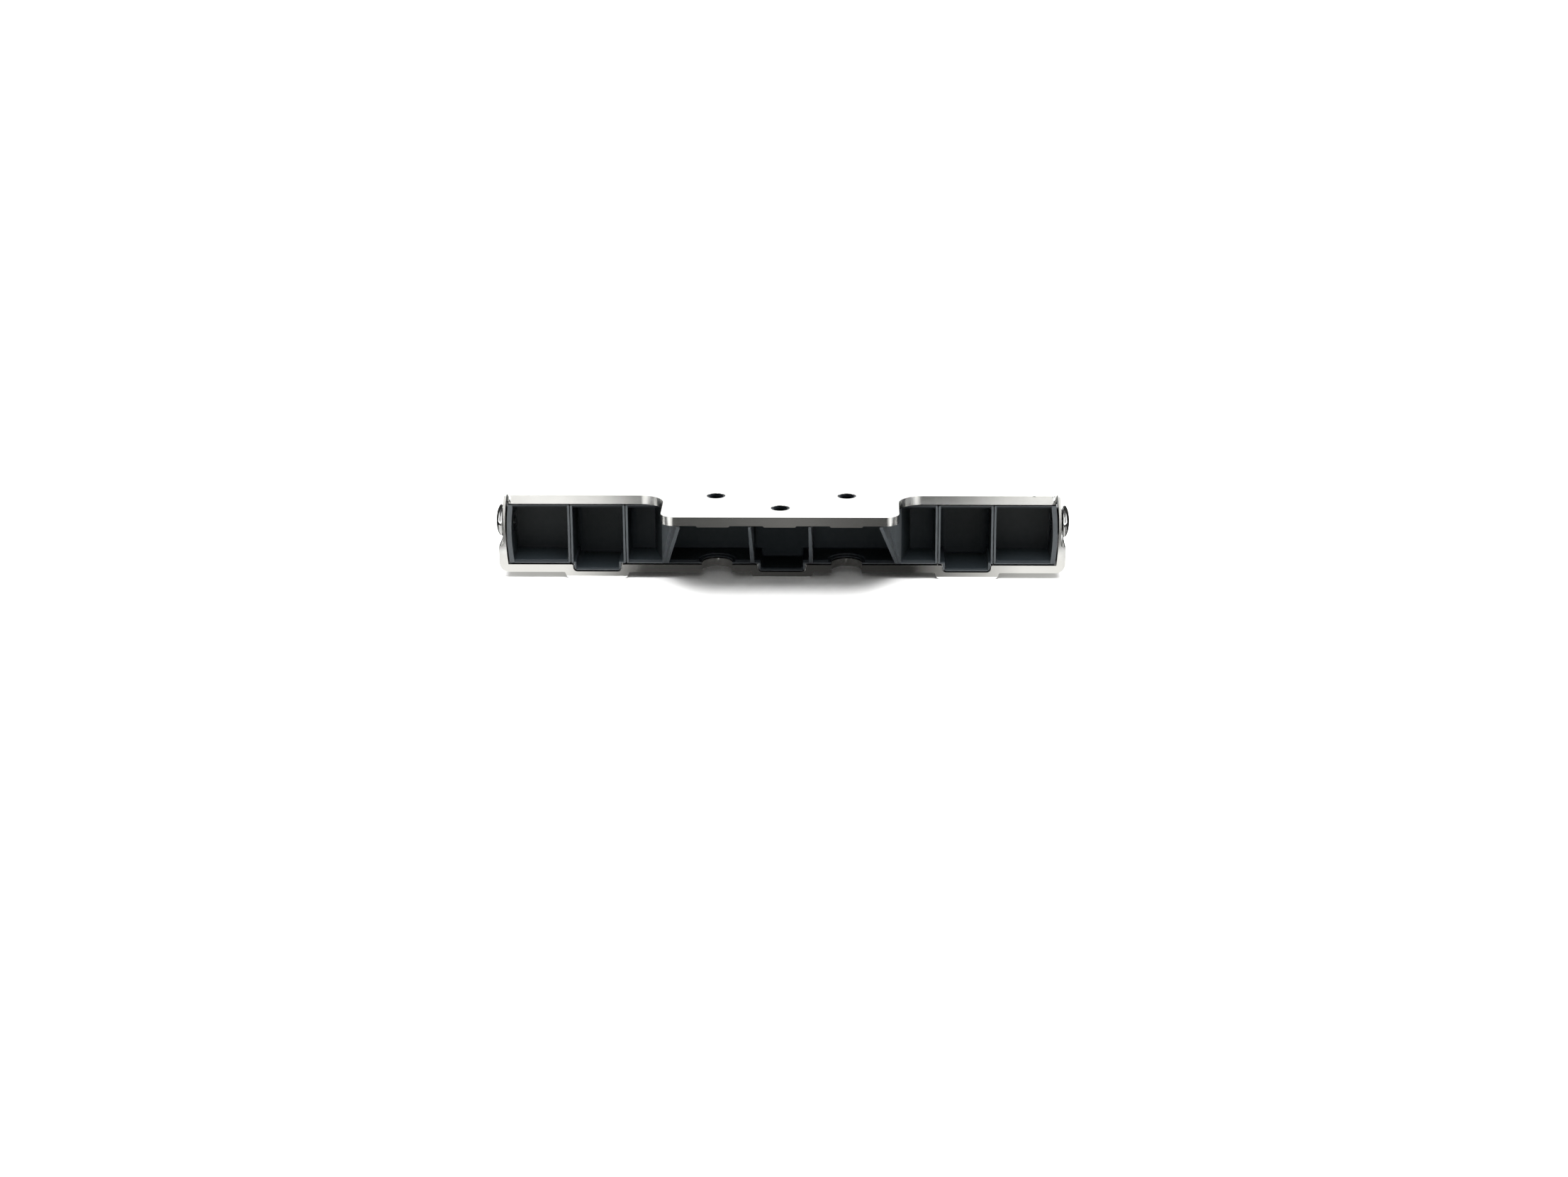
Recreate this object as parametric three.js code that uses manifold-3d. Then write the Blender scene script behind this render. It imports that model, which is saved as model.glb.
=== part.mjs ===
// Low linear guide carriage: a flat aluminium top plate with a mounting tongue, a formed tray with
// three runner feet, a core of ribbed black mouldings clamped between them, and a sprung glide
// button in each end wall. Millimetres, +Z up, tongue towards -Y.
// The origin is on the floor plane under the feet, in the middle of the overall box.

import * as THREE from 'three';
import { mergeVertices } from 'three/addons/utils/BufferGeometryUtils.js';
import Module from 'manifold-3d';

const wasm = await Module();
wasm.setup();

// ---- driving dimensions ------------------------------------------------------------------------

const plateHalf = 50.0;          // half the width of the top plate
const plateThick = 1.6;
const bodyDepth = 11.5;          // front to back of the body and of the plate's wings
const tongueReach = 13.6;        // how far the tongue stands out in front of the body
const tongueHalf = 21.2;
const tongueCorner = 2.5;        // radius of the tongue's two outer corners
const tongueRoot = 4.3;          // radius where the tongue's sides meet the wings
const wingCorner = 1.0;
const edgeMarkFrom = 46.8;       // shallow rectangular mark near each end of the plate's front edge
const edgeMarkTo = 49.2;
const edgeMarkDepth = 0.1;
const edgeMarkMargin = 0.22;
const nickX = 45.7;              // tiny nick in the top of the same edge
const nickSize = 0.25;
const bodyHeight = 14.6;         // plate top to the underside of the tray's floor
const footDrop = 1.15;           // how far the runner feet stand below the tray's floor
const sheet = 1.43;              // thickness of the tray's floor
const footSheet = 1.25;          // thickness of a foot's bottom

const holeX = 11.85;             // the two rear mounting holes, either side of the middle
const frontHoleReach = 7.7;      // the front mounting hole, measured out from the body's front
const holeR = 1.7;
const padWidth = 6.0;            // thickened strips under the tongue, one below each hole
const padDrop = 0.25;
const padPastFront = 2.6;        // how far the strips run in over the body
const insertDepth = 0.55;        // top of a thread insert's flange below the plate's top face
const insertOuterR = 2.3;
const insertNeckR = 1.64;        // the neck fills the hole almost to the plate's top face
const insertNeckDepth = 0.08;
const insertInnerR = 1.4;
const insertClearance = 0.12;

const footOuterFrom = 28.0;      // side feet, outside faces
const footOuterTo = 39.6;
const channelFrom = 29.2;        // side feet, inside faces of their channels
const channelTo = 38.2;
const midFootHalf = 5.57;
const midChannelHalf = 4.45;
const footCorner = 1.0;
const channelCorner = 0.8;       // bottom corners inside the feet's channels
const sheetEdge = 0.25;          // small radii on the tray's other corners
const innerBend = 0.3;

const ribInner = 28.45;          // joint line between the middle moulding and a runner box
const ribOuter = 38.55;          // joint line between a runner box and an end box
const jointGap = 0.15;           // daylight between two neighbouring mouldings
const seatGap = 0.25;            // daylight between a moulding and the metal round it
const skin = 0.55;               // floor and roof of a moulding
const thinWall = 0.38;           // side wall of a moulding at a joint line
const endWall = 0.85;            // outer side wall of an end box
const backWall = 0.9;
const webReach = 7.95;           // body front to the upright web, in mouldings that take clamp screws
const bayRib = 0.7;              // ribs between the bays behind that web
const footGap = 0.2;             // gap between a moulding's foot and the channel round it
const footWall = 0.35;           // side walls of a moulding's foot
const footFloor = 0.4;
const shelf = 0.3;               // floor of a runner box beside its foot
const rootOverlap = 0.3;         // gussets run this far into the web
const frontInset = 0.15;         // the mouldings stop just behind the metal's front edges
const mouldEdge = 0.2;           // small radii on the mouldings' outer corners
const mouldFootEdge = 0.15;
const mouldFootCorner = 0.7;
const hollowCorner = 0.4;        // radii inside the pockets
const hollowFloorCorner = 0.6;
const hollowBackCorner = 1.6;    // in plan, at the back of a deep pocket
const leadInLeft = 0.08;         // material left in front of a floor or roof below its lead-in slope
const overcut = 0.1;             // cutters run this far past the face they open

const gussetX = 5.35;            // straight gussets
const gussetTopThick = 0.46;
const gussetFootThick = 0.76;
const splayTipX = 17.95;         // splayed gussets: centre line at the tongue's front edge
const splayFootX = 20.95;        // and at the body's front
const splayThick = 0.62;
const gussetNose = 0.35;         // blunt front end of every gusset
const gussetShort = 0.35;        // gussets stop this far behind the tongue's front edge
const splayRibReach = 10.0;      // a second, shorter web on each splayed gusset's outer face
const splayRibThick = 0.5;

const notchR = 2.76;             // notches in the tray's floor below the rear mounting holes
const notchDepth = 4.1;
const reliefR = 3.35;            // the moulding's floor steps down in an arch round each notch
const reliefExtra = 0.7;
const reliefFloor = 0.25;        // plastic left under the step
const notchSlack = 0.03;

const wallInnerX = 50.05;        // end walls of the tray, inside face at top and bottom
const wallBow = 0.35;            // how far an end wall bows outwards at half height
const wallThick = 0.45;
const ledgeX = 51.7;             // the heavier lower part of an end wall
const ledgeTopZ = 6.2;
const wallLowerR = 1.7;
const wallBlend = 0.9;           // height over which an end wall narrows above its heavier part
const wallTopDrop = 0.2;         // top of an end wall below the plate's top face

const buttonDrop = 6.4;          // button axis below the plate's top face
const headR = 3.0;
const headUnderX = 51.35;        // underside of the button's head
const headRim = 0.25;            // straight rim below the dome
const crownX = 52.6;             // outermost point of the button
const headCupR = 2.6;            // the head is cupped underneath, where the spring washer sits
const headCupDepth = 0.4;
const stemR = 1.0;
const stemTipX = 49.1;           // inner end of the stem
const chamfer = 0.15;
const clipFromX = 49.42;         // retaining clip, in a groove round the stem
const clipToX = 49.72;
const clipOuterR = 1.7;
const clipInnerR = 0.82;
const clipMouthHalf = 0.55;
const grooveR = 0.7;
const grooveSlack = 0.02;
const clipSeatR = 2.0;           // recess in the end box's wall for the clip
const clipSeatX = 49.78;
const bushInnerR = 1.15;
const bushOuterR = 1.6;
const flangeR = 2.5;             // the bush's flange, trapped between the end box and the end wall
const flangeFromX = 50.18;
const flangeToX = 50.35;
const wallHoleR = 1.75;
const washerOuterR = 2.45;
const washerInnerR = 1.25;
const washerThick = 0.13;
const washerGap = 0.08;

const clampOuterX = 42.4;        // four countersunk screws hold the tray, core and plate together
const clampInnerX = 25.2;
const clampBack = 2.0;           // their distance from the back of the body
const bossR = 1.55;
const clampHoleR = 1.0;
const clampShankR = 0.8;
const clampHeadR = 1.6;
const clampHeadHeight = 0.8;
const clampSocketR = 0.52;       // hexagon socket, measured over its corners
const clampSocketDepth = 0.5;
const clampClearance = 0.1;
const clampHeadLift = 0.05;      // heads sit this far inside the tray's underside
const clampTipDepth = 0.6;       // end of a clamp screw below the plate's top face

// ---- places worked out from them ---------------------------------------------------------------

const topZ = bodyHeight + footDrop;
const plateUnderZ = topZ - plateThick;
const trayTopZ = footDrop + sheet;
const coreLowZ = trayTopZ + seatGap;
const coreTopZ = plateUnderZ - seatGap;
const tongueY = -(bodyDepth + tongueReach) / 2;
const frontY = tongueY + tongueReach;
const backY = frontY + bodyDepth;
const coreFrontY = frontY + frontInset;
const coreBackY = backY - frontInset;
const runnerBackY = coreBackY - backWall;
const webFrontY = frontY + webReach;
const webBackY = webFrontY + backWall;
const buttonY = (frontY + backY) / 2;
const buttonZ = topZ - buttonDrop;
const clampY = backY - clampBack;
const clampTipZ = topZ - clampTipDepth;
const insertTopZ = topZ - insertDepth;
const padUnderZ = plateUnderZ - padDrop;
const wallOuterX = wallInnerX + wallThick + wallBow;
const headCupX = headUnderX + headCupDepth;

// ---- materials ---------------------------------------------------------------------------------

function finish(color, roughness, metalness) {
  return () => new THREE.MeshStandardMaterial({ color, roughness, metalness });
}

const satinAluminium = finish(0xd9dad8, 0.32, 1.0);
const blackPlastic = finish(0x191c1e, 0.45, 0.0);
const chrome = finish(0xe8eaec, 0.08, 1.0);
const springSteel = finish(0x5a5c5e, 0.35, 1.0);
const zincSteel = finish(0xa9abad, 0.35, 1.0);
const blackSteel = finish(0x33363c, 0.4, 1.0);
const glidePlastic = finish(0x2c2e30, 0.5, 0.0);

// ---- joining and cutting -----------------------------------------------------------------------

function solid(geometry) {
  const bare = geometry.clone();
  bare.deleteAttribute('normal');
  bare.deleteAttribute('uv');
  const merged = mergeVertices(bare, 1e-4);
  return new wasm.Manifold(new wasm.Mesh({
    numProp: 3,
    vertProperties: new Float32Array(merged.attributes.position.array),
    triVerts: new Uint32Array(merged.index.array),
  }));
}

function geometryOf(manifold) {
  const mesh = manifold.getMesh();
  const geometry = new THREE.BufferGeometry();
  geometry.setAttribute('position', new THREE.BufferAttribute(new Float32Array(mesh.vertProperties), 3));
  geometry.setIndex(new THREE.BufferAttribute(new Uint32Array(mesh.triVerts), 1));
  geometry.computeVertexNormals();
  return geometry;
}

function joined(pieces) {
  return pieces.reduce((whole, piece) => whole.add(piece));
}

function cut(body, tools) {
  return tools.reduce((rest, tool) => rest.subtract(tool), body);
}

// ---- outlines ----------------------------------------------------------------------------------

// Closed outline through corners [x, y, radius]; every corner with a radius becomes a true arc.
function outline(corners, stepsPerCorner = 4) {
  const points = [];
  corners.forEach(([x, y, radius = 0], i) => {
    const corner = new THREE.Vector2(x, y);
    if (radius === 0) {
      points.push(corner);
      return;
    }
    const before = corners.at(i - 1);
    const after = corners[(i + 1) % corners.length];
    const toBefore = new THREE.Vector2(before[0], before[1]).sub(corner).normalize();
    const toAfter = new THREE.Vector2(after[0], after[1]).sub(corner).normalize();
    const half = Math.acos(THREE.MathUtils.clamp(toBefore.dot(toAfter), -1, 1)) / 2;
    const middle = toBefore.clone().add(toAfter).normalize();
    const centre = middle.multiplyScalar(radius / Math.sin(half)).add(corner);
    const tangentLength = radius / Math.tan(half);
    const start = toBefore.clone().multiplyScalar(tangentLength).add(corner).sub(centre);
    const end = toAfter.clone().multiplyScalar(tangentLength).add(corner).sub(centre);
    const sweep = Math.atan2(start.cross(end), start.dot(end));
    for (let k = 0; k <= stepsPerCorner; k += 1) {
      const turned = start.clone().rotateAround(new THREE.Vector2(), (sweep * k) / stepsPerCorner);
      points.push(turned.add(centre));
    }
  });
  return new THREE.Shape(points);
}

// Points of a shallow outward bow between two heights, both ends included.
function bowedEdge(x, bow, fromZ, toZ, steps = 8) {
  const points = [];
  for (let k = 0; k <= steps; k += 1) {
    const t = k / steps;
    points.push([x + bow * 4 * t * (1 - t), THREE.MathUtils.lerp(fromZ, toZ, t)]);
  }
  return points;
}

function mirrorX(corners) {
  return corners.map(([x, y, radius]) => [-x, y, radius]).reverse();
}

function rectangle(x0, y0, x1, y1, radius = 0) {
  return outline([[x0, y0, radius], [x1, y0, radius], [x1, y1, radius], [x0, y1, radius]]);
}

// An outline drawn in X and Z, run along Y.
function alongY(shape, y0, y1) {
  const geometry = new THREE.ExtrudeGeometry(shape, { depth: y1 - y0, bevelEnabled: false });
  geometry.rotateX(Math.PI / 2);
  geometry.translate(0, y1, 0);
  return solid(geometry);
}

// An outline drawn in X and Y, run up Z.
function upZ(shape, z0, z1) {
  const geometry = new THREE.ExtrudeGeometry(shape, { depth: z1 - z0, bevelEnabled: false });
  geometry.translate(0, 0, z0);
  return solid(geometry);
}

// An outline drawn in Y and Z, run along X.
function alongX(shape, x0, x1) {
  const geometry = new THREE.ExtrudeGeometry(shape, { depth: x1 - x0, bevelEnabled: false });
  geometry.rotateX(Math.PI / 2);
  geometry.rotateZ(Math.PI / 2);
  geometry.translate(x0, 0, 0);
  return solid(geometry);
}

function block(x0, y0, z0, x1, y1, z1) {
  return upZ(rectangle(x0, y0, x1, y1), z0, z1);
}

// An upright round bar, hole or cone.
function upright(radius, x, y, z0, z1, topRadius = radius, sides = 24) {
  const geometry = new THREE.CylinderGeometry(topRadius, radius, z1 - z0, sides);
  geometry.rotateX(Math.PI / 2);
  geometry.translate(x, y, (z0 + z1) / 2);
  return solid(geometry);
}

// A solid turned about the X axis from a profile of [radius, x] points, lowest x first.
function turnedX(profile, sides = 28) {
  const points = profile.map(([radius, x]) => new THREE.Vector2(radius, x));
  const geometry = new THREE.LatheGeometry(points, sides);
  geometry.rotateZ(-Math.PI / 2);
  return geometry;
}

// A U-shaped slot open towards -Y, as a cutter that runs up Z.
function openSlot(x, radius, depth, z0, z1) {
  const y0 = frontY - tongueReach;
  const y1 = frontY + depth;
  const nearlyRound = radius * 0.999;
  const corners = [[x - radius, y0], [x + radius, y0], [x + radius, y1, nearlyRound],
    [x - radius, y1, nearlyRound]];
  return upZ(outline(corners, 10), z0, z1);
}

// ---- top plate ---------------------------------------------------------------------------------

function plateOutline() {
  const right = [
    [tongueHalf, tongueY, tongueCorner],
    [tongueHalf, frontY, tongueRoot],
    [plateHalf, frontY, wingCorner],
    [plateHalf, backY, wingCorner],
  ];
  return outline([...right, ...mirrorX(right)], 8);
}

function tonguePad(x) {
  const half = padWidth / 2;
  const section = outline([
    [x - half + padDrop, padUnderZ],
    [x + half - padDrop, padUnderZ],
    [x + half, plateUnderZ],
    [x + half, plateUnderZ + padDrop],
    [x - half, plateUnderZ + padDrop],
    [x - half, plateUnderZ],
  ]);
  return alongY(section, tongueY, frontY + padPastFront);
}

const mountingHoles = [
  ['left', -holeX, frontY],
  ['right', holeX, frontY],
  ['front', 0, frontY - frontHoleReach],
];

const clampPlaces = [
  ['left_outer', -clampOuterX],
  ['left_inner', -clampInnerX],
  ['right_inner', clampInnerX],
  ['right_outer', clampOuterX],
];

// A shallow mark and a nick in the front edge, at the -X or +X end.
function edgeMarks(side) {
  const [x0, x1] = [edgeMarkFrom * side, edgeMarkTo * side].sort((a, b) => a - b);
  const mark = block(x0, frontY - 1, plateUnderZ + edgeMarkMargin, x1, frontY + edgeMarkDepth,
    topZ - edgeMarkMargin);
  const nick = block(nickX * side - nickSize, frontY - 1, topZ - nickSize / 2,
    nickX * side + nickSize, frontY + nickSize / 2, topZ + 1);
  return mark.add(nick);
}

function topPlate() {
  const pads = mountingHoles.map(([, x]) => tonguePad(x)).map((pad) => pad.intersect(slab()));
  const holes = mountingHoles.map(([, x, y]) => upright(holeR, x, y, 0, topZ + 1));
  const seatR = insertOuterR + insertClearance;
  const insertSeats = mountingHoles.map(([, x, y]) => {
    return upright(seatR, x, y, 0, insertTopZ + insertClearance);
  });
  const clampThreads = clampPlaces.map(([, x]) => {
    return upright(clampHoleR, x, clampY, 0, clampTipZ + clampClearance);
  });
  const plate = joined([upZ(plateOutline(), plateUnderZ, topZ), ...pads]);
  const tools = [...holes, ...insertSeats, ...clampThreads, edgeMarks(-1), edgeMarks(1)];
  return geometryOf(cut(plate, tools));
}

// Everything above and below the plate's outline, to trim the strips to it.
function slab() {
  return upZ(plateOutline(), 0, topZ);
}

function threadInsert(x, y) {
  const flange = upright(insertOuterR, x, y, padUnderZ, insertTopZ);
  const neck = upright(insertNeckR, x, y, padUnderZ, topZ - insertNeckDepth);
  return geometryOf(flange.add(neck).subtract(upright(insertInnerR, x, y, padUnderZ - 1, topZ + 1)));
}

// ---- tray --------------------------------------------------------------------------------------

function trayOutline() {
  const wallTopZ = topZ - wallTopDrop;
  const outerWall = bowedEdge(wallInnerX + wallThick, wallBow, trayTopZ, wallTopZ);
  const lower = [
    [midFootHalf, 0, footCorner],
    [midFootHalf, footDrop, innerBend],
    [footOuterFrom, footDrop, innerBend],
    [footOuterFrom, 0, footCorner],
    [footOuterTo, 0, footCorner],
    [footOuterTo, footDrop, innerBend],
    [ledgeX, footDrop, wallLowerR],
    [ledgeX, ledgeTopZ, innerBend],
    [wallOuterX, ledgeTopZ, sheetEdge],
    ...outerWall.filter(([, z]) => z > ledgeTopZ + wallBlend),
  ];
  const upper = [
    ...bowedEdge(wallInnerX, wallBow, trayTopZ, wallTopZ).reverse(),
    [channelTo, trayTopZ, sheetEdge],
    [channelTo, footSheet, channelCorner],
    [channelFrom, footSheet, channelCorner],
    [channelFrom, trayTopZ, sheetEdge],
    [midChannelHalf, trayTopZ, sheetEdge],
    [midChannelHalf, footSheet, channelCorner],
  ];
  return outline([...lower, ...upper, ...mirrorX(upper), ...mirrorX(lower)]);
}

function tray() {
  const blank = alongY(trayOutline(), frontY, backY);
  const notches = [-holeX, holeX].map((x) => openSlot(x, notchR, notchDepth, -1, coreLowZ));
  const clampHoles = clampPlaces.map(([, x]) => upright(clampHoleR, x, clampY, 0, coreLowZ));
  const sinkR = clampHeadR + clampClearance + clampHeadLift + overcut;
  const sinkTopZ = footDrop + sinkR - overcut - clampHoleR;
  const countersinks = clampPlaces.map(([, x]) => {
    return upright(sinkR, x, clampY, footDrop - overcut, sinkTopZ, clampHoleR);
  });
  const tools = [...notches, ...clampHoles, ...countersinks, buttonBore(-ledgeX, ledgeX, wallHoleR)];
  return geometryOf(cut(blank, tools));
}

// A round bore on the buttons' axis, from one X to another.
function buttonBore(x0, x1, radius) {
  const bore = turnedX([[0, x0], [radius, x0], [radius, x1], [0, x1]], 24);
  bore.translate(0, buttonY, buttonZ);
  return solid(bore);
}

// ---- mouldings ---------------------------------------------------------------------------------

// A pocket open to the front: an X-Z outline met with a plan that has rounded back corners.
function pocket(section, x0, x1, endY, cornerR) {
  const startY = tongueY - 1;
  const plan = outline([[x0, startY], [x1, startY], [x1, endY, cornerR], [x0, endY, cornerR]]);
  return alongY(section, startY, endY + overcut).intersect(upZ(plan, 0, topZ));
}

// A sloped lead-in at a pocket's mouth, on its floor and its roof.
function leadIn(x0, x1, lowZ, highZ, floorThick, roofThick) {
  const floorSlope = floorThick - leadInLeft;
  const roofSlope = roofThick - leadInLeft;
  return alongX(outline([
    [coreFrontY - overcut, lowZ - floorSlope],
    [coreFrontY, lowZ - floorSlope],
    [coreFrontY + floorSlope, lowZ],
    [coreFrontY + roofSlope, highZ],
    [coreFrontY, highZ + roofSlope],
    [coreFrontY - overcut, highZ + roofSlope],
  ]), x0, x1);
}

// A bay open to the back, behind the upright web.
function backBay(section) {
  return alongY(section, webBackY, backY + 1);
}

// A round screw boss, standing in a back bay against the web.
function screwBoss(x) {
  return upright(bossR, x, clampY, coreLowZ, coreTopZ, bossR, 20);
}

function clampBore(x) {
  return upright(clampHoleR, x, clampY, 0, topZ, clampHoleR, 16);
}

function endBox(side) {
  const innerX = ribOuter + jointGap / 2;
  const outerX = wallInnerX - seatGap;
  const shell = outline([
    [innerX, coreLowZ, mouldEdge],
    ...bowedEdge(outerX, wallBow, coreLowZ, coreTopZ),
    [innerX, coreTopZ, mouldEdge],
  ]);
  const hollow = outline([
    [innerX + thinWall, coreLowZ + skin, hollowFloorCorner],
    ...bowedEdge(outerX - endWall, wallBow, coreLowZ + skin, coreTopZ - skin),
    [innerX + thinWall, coreTopZ - skin, hollowCorner],
  ]);
  const spaceToX = outerX + wallBow - endWall;
  const space = pocket(hollow, innerX + thinWall, spaceToX, webFrontY, hollowFloorCorner);
  const roofZ = coreTopZ - skin;
  const mouth = leadIn(innerX + thinWall, outerX - endWall, coreLowZ + skin, roofZ, skin, skin);
  const shelled = cut(alongY(shell, coreFrontY, coreBackY), [space, mouth, backBay(hollow)]);
  const clipSeat = buttonBore(clipSeatX - 1, clipSeatX, clipSeatR);
  const bores = [clampBore(clampOuterX), clipSeat, buttonBore(clipSeatX - 1, clipSeatX + 1, wallHoleR)];
  return sided(cut(shelled.add(screwBoss(clampOuterX)), bores), side);
}

function runnerBox(side) {
  const innerX = ribInner + jointGap / 2;
  const outerX = ribOuter - jointGap / 2;
  const footZ = footSheet + footGap;
  const footFrom = channelFrom + footGap;
  const footTo = channelTo - footGap;
  const shell = outline([
    [footFrom, footZ, mouldFootCorner],
    [footTo, footZ, mouldFootCorner],
    [footTo, coreLowZ],
    [outerX, coreLowZ, mouldFootEdge],
    [outerX, coreTopZ, mouldEdge],
    [innerX, coreTopZ, mouldEdge],
    [innerX, coreLowZ, mouldFootEdge],
    [footFrom, coreLowZ],
  ]);
  const hollow = outline([
    [footFrom + footWall, footZ + footFloor, hollowFloorCorner],
    [footTo - footWall, footZ + footFloor, hollowFloorCorner],
    [footTo - footWall, coreLowZ + shelf],
    [outerX - thinWall, coreLowZ + shelf, mouldFootEdge],
    [outerX - thinWall, coreTopZ - skin, hollowCorner],
    [innerX + thinWall, coreTopZ - skin, hollowCorner],
    [innerX + thinWall, coreLowZ + shelf, mouldFootEdge],
    [footFrom + footWall, coreLowZ + shelf],
  ]);
  const space = pocket(hollow, innerX + thinWall, outerX - thinWall, runnerBackY, hollowBackCorner);
  const roofZ = coreTopZ - skin;
  const mouth = leadIn(innerX + thinWall, outerX - thinWall, coreLowZ + shelf, roofZ, shelf, skin);
  const footMouth = leadIn(footFrom + footWall, footTo - footWall, footZ + footFloor, coreLowZ,
    footFloor, footFloor);
  return sided(cut(alongY(shell, coreFrontY, coreBackY), [space, mouth, footMouth]), side);
}

// Places a moulding drawn for the +X end at either end of the carriage.
function sided(manifold, side) {
  return geometryOf(side > 0 ? manifold : manifold.mirror([1, 0, 0]));
}

// Side view of a gusset: full height in the body, sloping out to the reach under the tongue.
function gussetSide(reach) {
  return outline([
    [coreFrontY, coreLowZ],
    [webFrontY + rootOverlap, coreLowZ],
    [webFrontY + rootOverlap, coreTopZ],
    [frontY - reach, coreTopZ],
    [frontY - reach, coreTopZ - gussetNose],
  ]);
}

function straightGusset(x) {
  const top = gussetTopThick / 2;
  const foot = gussetFootThick / 2;
  const section = outline([
    [x - foot, coreLowZ],
    [x + foot, coreLowZ],
    [x + top, coreTopZ],
    [x - top, coreTopZ],
  ]);
  const wedge = alongY(section, tongueY, webFrontY + rootOverlap);
  return wedge.intersect(alongX(gussetSide(tongueReach - gussetShort), x - 1, x + 1));
}

function splayedGusset(side) {
  const slope = (splayFootX - splayTipX) / tongueReach;
  const blend = 0.05;
  const centreAt = (y) => splayTipX + slope * (y - tongueY);
  const leaning = (from, to) => upZ(outline([
    [centreAt(tongueY) + from, tongueY],
    [centreAt(tongueY) + to, tongueY],
    [centreAt(webFrontY + rootOverlap) + to, webFrontY + rootOverlap],
    [centreAt(webFrontY + rootOverlap) + from, webFrontY + rootOverlap],
  ]), coreLowZ, coreTopZ);
  const half = splayThick / 2;
  const longSide = alongX(gussetSide(tongueReach - gussetShort), 0, ribInner);
  const shortSide = alongX(gussetSide(splayRibReach), 0, ribInner);
  const web = leaning(-half, half).intersect(longSide);
  const rib = leaning(half - blend, half + splayRibThick).intersect(shortSide);
  const whole = web.add(rib);
  return side > 0 ? whole : whole.mirror([1, 0, 0]);
}

function middleMoulding() {
  const outerX = ribInner - jointGap / 2;
  const footHalf = midChannelHalf - footGap;
  const footZ = footSheet + footGap;
  const rightShell = [
    [footHalf, footZ, mouldFootCorner],
    [footHalf, coreLowZ],
    [outerX, coreLowZ, mouldFootEdge],
    [outerX, coreTopZ, mouldEdge],
  ];
  const shell = outline([...rightShell, ...mirrorX(rightShell)]);
  const wallX = outerX - thinWall;
  const hollow = rectangle(-wallX, coreLowZ + skin, wallX, coreTopZ - skin, hollowCorner);
  const footInnerHalf = footHalf - footWall;
  const footHollow = rectangle(-footInnerHalf, footZ + footFloor, footInnerHalf,
    coreLowZ + skin + 2 * hollowFloorCorner, hollowFloorCorner);
  const bayEnds = [gussetX, splayFootX].map((x) => [x - bayRib / 2, x + bayRib / 2]);
  const bays = [
    [-bayEnds[0][0], bayEnds[0][0]],
    [bayEnds[0][1], bayEnds[1][0]],
    [bayEnds[1][1], wallX],
    [-bayEnds[1][0], -bayEnds[0][1]],
    [-wallX, -bayEnds[1][1]],
  ].map(([x0, x1]) => backBay(rectangle(x0, coreLowZ + skin, x1, coreTopZ - skin, hollowCorner)));
  const shelled = cut(alongY(shell, coreFrontY, coreBackY), [
    pocket(hollow, -wallX, wallX, webFrontY, hollowBackCorner),
    pocket(footHollow, -footInnerHalf, footInnerHalf, webFrontY, hollowFloorCorner),
    leadIn(-wallX, wallX, coreLowZ + skin, coreTopZ - skin, skin, skin),
    leadIn(-footInnerHalf, footInnerHalf, footZ + footFloor, coreLowZ, footFloor, footFloor),
    backBay(footHollow),
    ...bays,
  ]);
  const webs = [
    straightGusset(-gussetX),
    straightGusset(gussetX),
    splayedGusset(-1),
    splayedGusset(1),
    screwBoss(-clampInnerX),
    screwBoss(clampInnerX),
  ];
  const floorTopZ = coreLowZ + skin + overcut;
  const throughs = [-holeX, holeX].map((x) => {
    return openSlot(x, notchR + notchSlack, notchDepth + notchSlack, coreLowZ - 1, floorTopZ);
  });
  const reliefs = [-holeX, holeX].map((x) => {
    return openSlot(x, reliefR, notchDepth + reliefExtra, coreLowZ + reliefFloor, floorTopZ);
  });
  const headroom = [-holeX, holeX].map((x) => {
    return openSlot(x, reliefR, padPastFront + seatGap, coreTopZ - skin - overcut, topZ);
  });
  const bores = [clampBore(-clampInnerX), clampBore(clampInnerX)];
  return geometryOf(cut(joined([shelled, ...webs]), [...throughs, ...reliefs, ...headroom, ...bores]));
}

// ---- glide buttons, drawn about the X axis with the head towards +X ----------------------------

function glideButton() {
  const rimX = headUnderX + headRim;
  const dome = [];
  const domeSteps = 7;
  for (let k = 0; k < domeSteps; k += 1) {
    const angle = (k / domeSteps) * (Math.PI / 2);
    dome.push([headR * Math.cos(angle), rimX + (crownX - rimX) * Math.sin(angle)]);
  }
  return turnedX([
    [0, stemTipX],
    [stemR - chamfer, stemTipX],
    [stemR, stemTipX + chamfer],
    [stemR, clipFromX - grooveSlack],
    [grooveR, clipFromX - grooveSlack],
    [grooveR, clipToX + grooveSlack],
    [stemR, clipToX + grooveSlack],
    [stemR, headCupX],
    [headCupR, headCupX],
    [headCupR, headUnderX],
    [headR - chamfer, headUnderX],
    [headR, headUnderX + chamfer],
    ...dome,
    [0, crownX],
  ]);
}

// A coned spring washer between the end wall and the bottom of the cup in the button's head.
function springWasher() {
  const lowX = wallOuterX + washerGap;
  const highX = headCupX - washerGap;
  return turnedX([
    [washerOuterR, lowX],
    [washerOuterR, lowX + washerThick],
    [washerInnerR, highX],
    [washerInnerR, highX - washerThick],
    [washerOuterR, lowX],
  ]);
}

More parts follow.
